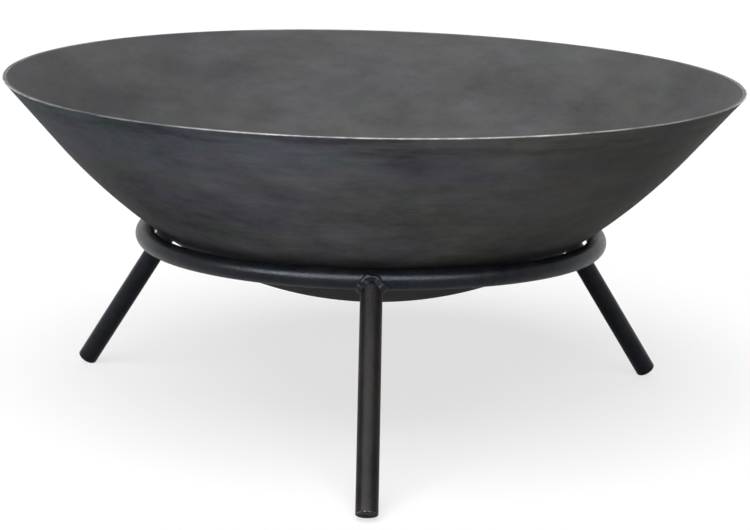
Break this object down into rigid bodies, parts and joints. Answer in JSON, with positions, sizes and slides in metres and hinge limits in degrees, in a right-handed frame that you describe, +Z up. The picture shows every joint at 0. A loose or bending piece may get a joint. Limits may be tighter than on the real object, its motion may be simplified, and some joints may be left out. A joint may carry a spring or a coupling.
{
  "type": "fire pit with grate",
  "caption": "Round dished steel fire bowl resting loose on a ring stand with splayed bar legs, with a lift-out fire grate in the bowl.",
  "frame": {"origin": "on the bowl's vertical axis, at ground level under it", "axes": "+Z up along the bowl's axis, -Y towards the front leg, +X to the right seen from the front leg's side"},
  "size_m": [0.5989, 0.599, 0.2838],
  "materials": {
    "raw_sheet_steel": "raw dark hot-rolled sheet with a mottled mill skin, bright ground rim edge",
    "black_paint": "satin black heat-resistant paint",
    "painted_weld": "satin black paint over rippled weld",
    "raw_bar_steel": "raw black round bar, dull with a little heat tint"
  },
  "bodies": {
    "stand": {"stand_ring": "black_paint", "stand_ring_weld": "painted_weld", "leg_front": "black_paint", "leg_weld_front": "painted_weld", "leg_rear_right": "black_paint", "leg_weld_rear_right": "painted_weld", "leg_rear_left": "black_paint", "leg_weld_rear_left": "painted_weld"},
    "bowl": {"bowl": "raw_sheet_steel"},
    "grate": {"grate_hoop": "raw_bar_steel", "grate_hoop_weld": "raw_bar_steel", "grate_bearer_left": "raw_bar_steel", "grate_bearer_right": "raw_bar_steel", "grate_bar_01": "raw_bar_steel", "grate_bar_02": "raw_bar_steel", "grate_bar_03": "raw_bar_steel", "grate_bar_04": "raw_bar_steel", "grate_bar_05": "raw_bar_steel", "grate_bar_06": "raw_bar_steel", "grate_bar_07": "raw_bar_steel", "grate_bar_08": "raw_bar_steel", "grate_bar_09": "raw_bar_steel", "grate_bar_10": "raw_bar_steel", "grate_bar_11": "raw_bar_steel", "grate_bar_12": "raw_bar_steel", "grate_bar_13": "raw_bar_steel"}
  },
  "joints": [
    {"name": "bowl_lift", "type": "slide", "parent": "stand", "child": "bowl", "axis": [0, 0, 1], "range_m": [0, 0.12]},
    {"name": "grate_lift", "type": "slide", "parent": "bowl", "child": "grate", "axis": [0, 0, 1], "range_m": [0, 0.18]}
  ]
}
